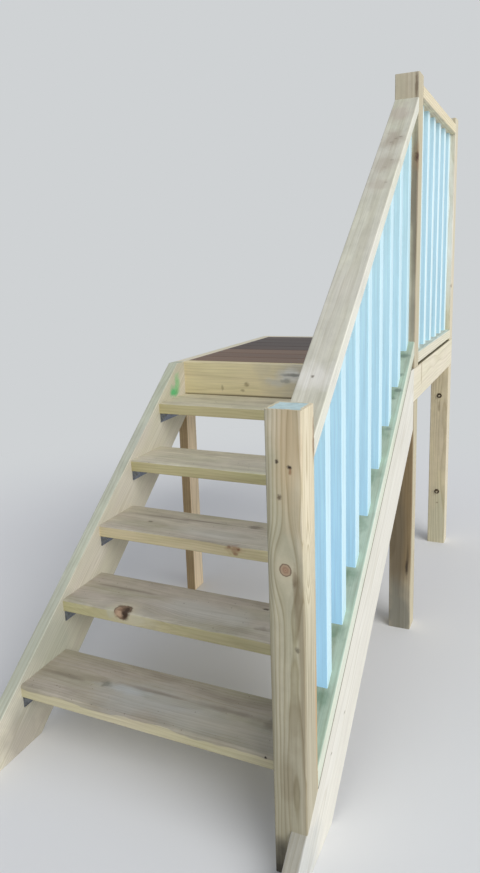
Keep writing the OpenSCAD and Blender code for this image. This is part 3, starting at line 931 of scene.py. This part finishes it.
# %% Base rail and landing rails
BALUSTERS, BALUSTER_STEP, BALUSTER_WIDE = 9, 0.151, 0.042
SHADE_AHEAD, SHADE_DROP = 0.03, 0.05
last_foot_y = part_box("handrail")[1].y - BALUSTER_WIDE / 2
rail_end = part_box("base_rail")[1]
foot_shades = []
for number in range(BALUSTERS):
    foot_y = last_foot_y - BALUSTER_STEP * number
    shade_z = rail_end.z - SHADE_DROP + (foot_y - rail_end.y) * RISE / GOING
    # A darker green patch in front of each foot, painted shade.
    foot_shades.append(((0.5, foot_y - SHADE_AHEAD, shade_z), (36, 44, 46), "#6d8a72", 0.75))
dress_pine(
    "base_rail", "rake", "#e6ebdd", pith=(0.0, 0.0, -0.07), top="#b3c4b4", wander_mm=20,
    contrast=0.45, smears=0.5, stains=foot_shades,
    marks=(((0.520, 0.130, 1.198), (26, 13, 12), "#6d7d71", 0.7),
           ((0.512, 0.050, 1.136), (24, 11, 10), "#66776a", 0.65),
           ((0.524, -0.012, 1.088), (20, 12, 11), "#637366", 0.75),
           ((0.510, -0.045, 1.063), (18, 8, 7), "#6d7f71", 0.6),
           ((0.522, -0.160, 0.973), (14, 9, 8), "#74877a", 0.6)))
dress_pine("landing_top_rail", "back", "#efe2c4", pith=(0.0, 0.0, -0.06), top="#cfcbba")
dress_pine("landing_bottom_rail", "back", "#e9e3cf", pith=(0.0, 0.0, -0.06), top="#c6cfc7")
print("four rails dressed, with", len(foot_shades), "damp places")

# %% [markdown]
# The balusters wear a pale blue primer: a thin eggshell coat brushed on dressed pine, so
# the grain still shows through as faint lines. Their sides are paler than their fronts and
# backs, a painted highlight, and the blue grows darker towards their feet, which is painted
# shade. The landing's balusters are painted paler than the flight's, and their sides
# paler still, which is painted light. The pine with a blue tint would show its rings and
# weather, and paint hides both, so this is a coat of its own. Its clouds measure
# 143 x 400 mm, and the lines of the grain are 6 mm wide and 200 mm long.

# %% Primed balusters
CLOUD_MM = (143, 143, 400)
PAINTED_GRAIN_MM = (6.25, 6.25, 200)


def primer_coat(name, lower_shaded, upper_paler, sides):
    """Pale blue primer over dressed pine, with painted shade towards the feet and a painted
    highlight on the sides.
    """
    material, tree, shader = new_finish(name)
    place = add(tree, "ShaderNodeTexCoord", out=None)
    facing = add(tree, "ShaderNodeSeparateXYZ", {0: place.outputs["Normal"]}, out="X")
    facing = add(tree, "ShaderNodeMath", {0: facing}, operation="ABSOLUTE")
    # Faces that look sideways take the sides colour, a painted highlight.
    side = add(tree, "ShaderNodeMapRange", {"Value": facing, "From Min": 0.3, "From Max": 0.8})
    height = add(tree, "ShaderNodeSeparateXYZ", {0: place.outputs["Object"]}, out="Z")
    cloud = add(tree, "ShaderNodeVectorMath",
                {0: place.outputs["Object"], 1: repeats(CLOUD_MM)}, operation="MULTIPLY")
    cloud = add(tree, "ShaderNodeTexNoise", {"Vector": cloud, "Scale": 1.0, "Detail": 3.0})
    height = add(tree, "ShaderNodeMath", {0: cloud, 1: 0.5, 2: height}, operation="MULTIPLY_ADD")
    # Painted shade: the colour goes from the darker one at the feet to the paler one higher up.
    height_share = add(tree, "ShaderNodeMapRange", {"Value": height, "From Min": 0.7, "From Max": 2.0})
    shaded_by_height = add(tree, "ShaderNodeMix", {0: height_share, 6: linear(lower_shaded), 7: linear(upper_paler)},
                out=2, data_type="RGBA")
    colour = add(tree, "ShaderNodeMix", {0: side, 6: shaded_by_height, 7: linear(sides)}, out=2,
                 data_type="RGBA")
    long = add(tree, "ShaderNodeVectorMath",
               {0: place.outputs["Object"], 1: repeats(PAINTED_GRAIN_MM)}, operation="MULTIPLY")
    grain = add(tree, "ShaderNodeTexNoise", {"Vector": long, "Scale": 1.0, "Detail": 3.0})
    lines = add(tree, "ShaderNodeMapRange", {"Value": grain, "From Min": 0.3, "From Max": 0.7,
                                             "To Min": 0.91, "To Max": 1.06})
    colour = add(tree, "ShaderNodeMix", {0: 1.0, 6: colour, 7: lines}, out=2,
                 data_type="RGBA", blend_type="MULTIPLY")
    tree.links.new(colour, shader.inputs["Base Color"])
    gloss = add(tree, "ShaderNodeMapRange", {"Value": cloud, "To Min": 0.38, "To Max": 0.52})
    tree.links.new(gloss, shader.inputs["Roughness"])
    bump = add(tree, "ShaderNodeBump", {"Strength": 0.25, "Distance": 0.0004, "Height": grain})
    tree.links.new(bump, shader.inputs["Normal"])
    return material


dress("stair_balusters", primer_coat("pale blue primer, flight", "#b3e4ff", "#d2f6ff",
                                     "#d3f3fd"))
# The landing's colours are paler, painted light.
dress("landing_balusters", primer_coat("pale blue primer, landing, painted paler", "#bdecff", "#cdf2ff",
                                       "#e4fbff"))
print("both rows of balusters primed")

# %% [markdown]
# The landing is decked in a brown hardwood, oiled until it shines. Oil darkens the wood
# and fills its pores, so the boards are smooth and mirror the sky at a low angle. Their
# shine is kept low, because this backdrop is paler than what the real ones mirror. The
# boards at the back are painted nearly black-brown, a painted reflection of the dark wall
# that the real ones mirror. One finish for the whole deck would run the grain on from
# board to board, so each board takes its grain from another place. It is drawn 11 mm
# wide and 333 mm long, coarse enough to show.

# %% Oiled deck boards
BOARD_GRAIN_MM = (333, 11.1, 11.1)
BOARD_SHIFT = 3.7


def oiled_hardwood(name, shift, dark, middle, light):
    """Oiled brown decking, its grain along x and shifted by a number of repeats."""
    material, tree, shader = new_finish(name)
    place = add(tree, "ShaderNodeTexCoord", out="Object")
    long = add(tree, "ShaderNodeMapping", {"Vector": place, "Location": (shift, shift, 0.0),
                                           "Scale": repeats(BOARD_GRAIN_MM)})
    grain = add(tree, "ShaderNodeTexNoise", {"Vector": long, "Scale": 1.0, "Detail": 5.0})
    colour = add(tree, "ShaderNodeValToRGB", {0: grain},
                 stops=((0.3, linear(dark)), (0.5, linear(middle)), (0.7, linear(light))))
    tree.links.new(colour, shader.inputs["Base Color"])
    shader.inputs["Specular IOR Level"].default_value = 0.07
    gloss = add(tree, "ShaderNodeMapRange", {"Value": grain, "To Min": 0.30, "To Max": 0.45})
    tree.links.new(gloss, shader.inputs["Roughness"])
    bump = add(tree, "ShaderNodeBump", {"Strength": 0.2, "Distance": 0.0004, "Height": grain})
    tree.links.new(bump, shader.inputs["Normal"])
    return material


near_board = ("#65492f", "#70523a", "#7b5c43")
near_warm_board = ("#5c4029", "#674932", "#72533b")
dark_reflection = ("#321d10", "#3c2516", "#482f1e")
darkest_reflection = ("#2a170b", "#341e11", "#402818")
# The four boards at the back are painted darker, a painted reflection of a dark wall.
for number, shades in enumerate((near_board, near_warm_board, near_board, dark_reflection, darkest_reflection, darkest_reflection, dark_reflection), 1):
    dress("deck_board_%d" % number, oiled_hardwood("oiled hardwood %d" % number,
                                                   BOARD_SHIFT * number, *shades))
print("seven deck boards oiled")

# %% [markdown]
# The brackets under the treads are folded sheet steel, hot-dip galvanised. Zinc freezes
# in crystals, the spangle, each about 6 mm across and each reflecting a little
# differently. Plain grey metal would do from afar. A Voronoi pattern gives each crystal
# its own shade and gloss. New zinc is a cool grey and dulls quickly, so it is not
# polished. Its greys are darker than new zinc, painted shade for brackets that sit under
# the treads.

# %% Galvanised steel
SPANGLE_MM = 6.25


def zinc_coat(name, dark, light):
    """Dull zinc with its spangle."""
    material, tree, shader = new_finish(name)
    place = add(tree, "ShaderNodeTexCoord", out="Object")
    spangle = add(tree, "ShaderNodeTexVoronoi", {"Vector": place, "Scale": 1000 / SPANGLE_MM},
                  out=None)
    shade = add(tree, "ShaderNodeSeparateColor", {0: spangle.outputs["Color"]})
    colour = add(tree, "ShaderNodeMix", {0: shade, 6: linear(dark), 7: linear(light)}, out=2,
                 data_type="RGBA")
    tree.links.new(colour, shader.inputs["Base Color"])
    shader.inputs["Metallic"].default_value = 1.0
    gloss = add(tree, "ShaderNodeMapRange", {"Value": shade, "To Min": 0.36, "To Max": 0.52})
    tree.links.new(gloss, shader.inputs["Roughness"])
    return material


# The darker greys are painted shade.
zinc = zinc_coat("galvanised steel", "#6c717c", "#9298a5")
dress("left_tread_brackets", zinc)
dress("right_tread_brackets", zinc)
print("crystals about %.1f mm across" % SPANGLE_MM)

# %% [markdown]
# Fasteners come last. Each kind of head is turned from a profile, as on a lathe. A
# screw's head could be carved from a cylinder, but a profile in millimetres is how a
# drawing would give it, and every head here then needs one short line.

# %% Screw and bolt heads
def turned_head(name, profile_mm, sides, material):
    """A head turned round z from (radius, height) pairs in mm, from the top down."""
    mesh = bpy.data.meshes.new(name)
    shape = bmesh.new()
    angles = [2 * math.pi * side / sides for side in range(sides)]
    rings = []
    for radius, height in profile_mm:
        if radius == 0.0:
            rings.append([shape.verts.new((0.0, 0.0, height / 1000))])
            continue
        rings.append([shape.verts.new((radius / 1000 * math.cos(angle),
                                       radius / 1000 * math.sin(angle),
                                       height / 1000)) for angle in angles])
    for upper, lower in zip(rings, rings[1:]):
        for side in range(sides):
            corners = [upper[side % len(upper)], lower[side % len(lower)],
                       lower[(side + 1) % len(lower)], upper[(side + 1) % len(upper)]]
            # A ring that is a single point would give a corner twice: the face is then a
            # triangle.
            unique = list(dict.fromkeys(corners))
            shape.faces.new(unique)
    bmesh.ops.recalc_face_normals(shape, faces=shape.faces)
    shape.to_mesh(mesh)
    shape.free()
    mesh.materials.append(material)
    return bpy.data.objects.new(name, mesh)


deck_screw = turned_head("deck screw head", ((0, -0.6), (1.3, -0.6), (1.6, 0.3), (3.7, 0.3),
                                             (4.0, 0.0), (4.0, -0.5), (0, -0.5)), 16, zinc)
bracket_screw = turned_head("bracket screw head", ((0, 2.4), (2.2, 2.2), (4.0, 1.2), (4.4, 0.0),
                                                   (0, 0.0)), 16, zinc)
print("screw heads:", deck_screw.name, "and", bracket_screw.name)

# %% [markdown]
# Heads repeat at even steps, so a Geometry Nodes tree sets them out: a line of places,
# each repeated along a second line. A loop could place the copies too, but the tree has
# its sizes as named inputs, and it serves the screws through the deck, the screws in the
# brackets and the anchors in the wall post alike. It ends by making the copies real and
# giving them their finish.

# %% Setting-out tree
def setting_out_tree():
    """Copies of a head on a line of places, each repeated along a second line."""
    tree = bpy.data.node_groups.new("setting out", "GeometryNodeTree")
    face = tree.interface
    face.new_socket("Geometry", in_out="INPUT", socket_type="NodeSocketGeometry")
    for label, kind in (("Head", "NodeSocketObject"), ("Finish", "NodeSocketMaterial"),
                        ("Start", "NodeSocketVector"), ("Count", "NodeSocketInt"),
                        ("Step", "NodeSocketVector"), ("Row count", "NodeSocketInt"),
                        ("Row step", "NodeSocketVector"), ("Turn", "NodeSocketRotation")):
        face.new_socket(label, in_out="INPUT", socket_type=kind)
    face.new_socket("Geometry", in_out="OUTPUT", socket_type="NodeSocketGeometry")
    given = add(tree, "NodeGroupInput", out=None).outputs
    line = add(tree, "GeometryNodeMeshLine", {"Count": given["Count"],
                                              "Start Location": given["Start"],
                                              "Offset": given["Step"]})
    row = add(tree, "GeometryNodeMeshLine", {"Count": given["Row count"],
                                             "Offset": given["Row step"]})
    places = add(tree, "GeometryNodeInstanceOnPoints", {"Points": line, "Instance": row})
    places = add(tree, "GeometryNodeRealizeInstances", {"Geometry": places})
    head = add(tree, "GeometryNodeObjectInfo", {"Object": given["Head"]}, out="Geometry")
    heads = add(tree, "GeometryNodeInstanceOnPoints", {"Points": places, "Instance": head,
                                                       "Rotation": given["Turn"]})
    heads = add(tree, "GeometryNodeRealizeInstances", {"Geometry": heads})
    heads = add(tree, "GeometryNodeSetMaterial", {"Geometry": heads,
                                                  "Material": given["Finish"]})
    add(tree, "NodeGroupOutput", {0: heads}, out=None)
    return tree


setting_out = setting_out_tree()
print("setting-out tree of", len(setting_out.nodes), "nodes")

# %% [markdown]
# The tree could stay on each piece as a live modifier, but a plain mesh is what every
# program can read. So it is run once on an empty mesh, its result is kept as a piece,
# and the modifier goes. Its inputs are set before that run, and by identifier, because
# names may repeat.

# %% Setting out a piece
def set_out(name, slot, **sizes):
    """Runs the tree once and keeps its result as a plain piece that rides on the stairs."""
    seed = bpy.data.objects.new(name + " seed", bpy.data.meshes.new(name + " seed"))
    bpy.context.collection.objects.link(seed)
    modifier = seed.modifiers.new("setting out", "NODES")
    modifier.node_group = setting_out
    for item in setting_out.interface.items_tree:
        label = item.name.lower().replace(" ", "_")
        if item.in_out == "INPUT" and label in sizes:
            modifier[item.identifier] = sizes[label]
    bpy.context.view_layer.update()
    grown = seed.evaluated_get(bpy.context.evaluated_depsgraph_get())
    mesh = bpy.data.meshes.new_from_object(grown)
    mesh.name = name
    bpy.data.objects.remove(seed)
    piece = bpy.data.objects.new(name, mesh)
    bpy.context.collection.objects.link(piece)
    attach(piece, "root")


print("inputs:", ", ".join(item.name for item in setting_out.interface.items_tree
                           if item.in_out == "INPUT"))

# %% [markdown]
# Two screws hold each deck board at each bearer, 22 mm in from the board's edges. The
# first and last boards are cut out round the posts, so they have none at the right. The
# screws could be counted from the whole deck at once, but each line stands over its own
# bearer, so one run of the tree serves one bearer.

# %% Deck screws
SCREW_INSET = 0.022
board_low, board_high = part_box("deck_board_1")
board_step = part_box("deck_board_2")[0].y - board_low.y
screw_gap = board_high.y - board_low.y - 2 * SCREW_INSET
for side, first_board, boards in (("left", 1, 7), ("centre", 1, 7), ("right", 2, 5)):
    low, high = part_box(side + "_bearer")
    first_y = board_low.y + SCREW_INSET + (first_board - 1) * board_step
    set_out("deck_screws_" + side, "galvanised_steel", head=deck_screw, finish=zinc,
            start=((low.x + high.x) / 2, first_y, board_high.z), count=boards,
            step=(0.0, board_step, 0.0), row_count=2, row_step=(0.0, screw_gap, 0.0),
            turn=(0.0, 0.0, 0.0))
print("deck boards every %.1f mm" % (board_step * 1000))

# %% [markdown]
# Three screws go through each bracket's upright leg into the stringer, and two go up
# through its level leg into the tread. The heads step up the flight with the treads: one
# going along and one rise up. A bracket could carry its screws with it, but each side's
# brackets are one piece of the CAD model, so the screws are measured from its box.

# %% Bracket screws
STEEL = 0.003
UPRIGHT_SCREWS, UPRIGHT_FIRST, UPRIGHT_STEP, UPRIGHT_DROP = 3, 0.030, 0.065, 0.026
LEVEL_SCREWS, LEVEL_FIRST, LEVEL_STEP, LEVEL_IN = 2, 0.050, 0.090, 0.024
one_tread_up = (0.0, GOING, RISE)
tread_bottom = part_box("tread_1")[0].z
for side, inwards in (("left", 1), ("right", -1)):
    low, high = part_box(side + "_tread_brackets")
    stringer_face = low.x if side == "left" else high.x
    set_out("bracket_screws_" + side, "galvanised_steel", head=bracket_screw, finish=zinc,
            start=(stringer_face + inwards * STEEL, low.y + UPRIGHT_FIRST,
                   tread_bottom - UPRIGHT_DROP),
            count=len(tread_looks), step=one_tread_up, row_count=UPRIGHT_SCREWS,
            row_step=(0.0, UPRIGHT_STEP, 0.0), turn=(0.0, inwards * math.pi / 2, 0.0))
    set_out("tread_screws_" + side, "galvanised_steel", head=bracket_screw, finish=zinc,
            start=(stringer_face + inwards * LEVEL_IN, low.y + LEVEL_FIRST,
                   tread_bottom - STEEL),
            count=len(tread_looks), step=one_tread_up, row_count=LEVEL_SCREWS,
            row_step=(0.0, LEVEL_STEP, 0.0), turn=(math.pi, 0.0, 0.0))
print("each bracket has", UPRIGHT_SCREWS + LEVEL_SCREWS, "screws")

# %% [markdown]
# Two anchors hold the wall post back, each with a nut on a washer 26 mm wide. They are
# plated thinly with zinc and passivated, a bath that leaves a brownish film, and washer
# and nut are darker still, which is painted shade. The end of the bolt was cut, and its
# pale colour is a painted highlight. They could be placed by eye, but the record says
# where their holes are.

# %% Wall anchors
# The brown finish is darker than the plate alone, painted shade, and the pale one is a painted
# highlight.
plated_and_shaded = zinc_coat("passivated zinc plate", "#4b4136", "#6f6250")
highlit = zinc_coat("bright zinc plate", "#a99f88", "#c9c0aa")
washer = turned_head("anchor washer", ((8.0, 2.0), (12.5, 2.0), (13.0, 1.6), (13.0, 0.0),
                                       (8.0, 0.0), (8.0, 2.0)), 40, plated_and_shaded)
anchor_nut = turned_head("anchor nut", ((0, 9.4), (8.0, 9.4), (9.4, 8.6), (9.4, 2.0),
                                        (0, 2.0)), 6, plated_and_shaded)
bolt_end = turned_head("bolt end", ((0, 13.0), (4.2, 12.9), (5.4, 12.0), (5.4, 9.4), (0, 9.4)),
                       24, highlit)
post_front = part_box("wall_post")[0].y
mounts = {mount["name"]: mount for mount in frame["record"]["mounts"]}
anchor_mount = mounts["wall_anchors"]
middle = Vector(anchor_mount["pos_m"])
apart = anchor_mount["dims"]["spacing_y_mm"] / 1000
for name, head, finish in (("anchor_washers", washer, plated_and_shaded), ("anchor_nuts", anchor_nut, plated_and_shaded),
                           ("anchor_bolt_ends", bolt_end, highlit)):
    set_out(name, "galvanised_steel", head=head, finish=finish,
            start=(middle.x, post_front, middle.z - apart / 2), count=2, step=(0.0, 0.0, apart),
            row_count=1, row_step=(0.0, 0.0, 0.0), turn=(math.pi / 2, 0.0, 0.0))
print("anchors at", [round(middle.z + side * apart / 2, 3) for side in (-1, 1)], "m")

# %% [markdown]
# Last, the size of the dressed model is written beside the CAD model's, to show that the
# looks have not changed it.

# %% Sizes and finish
low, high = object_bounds()
print("dressed size", [round(side, 3) for side in high - low])
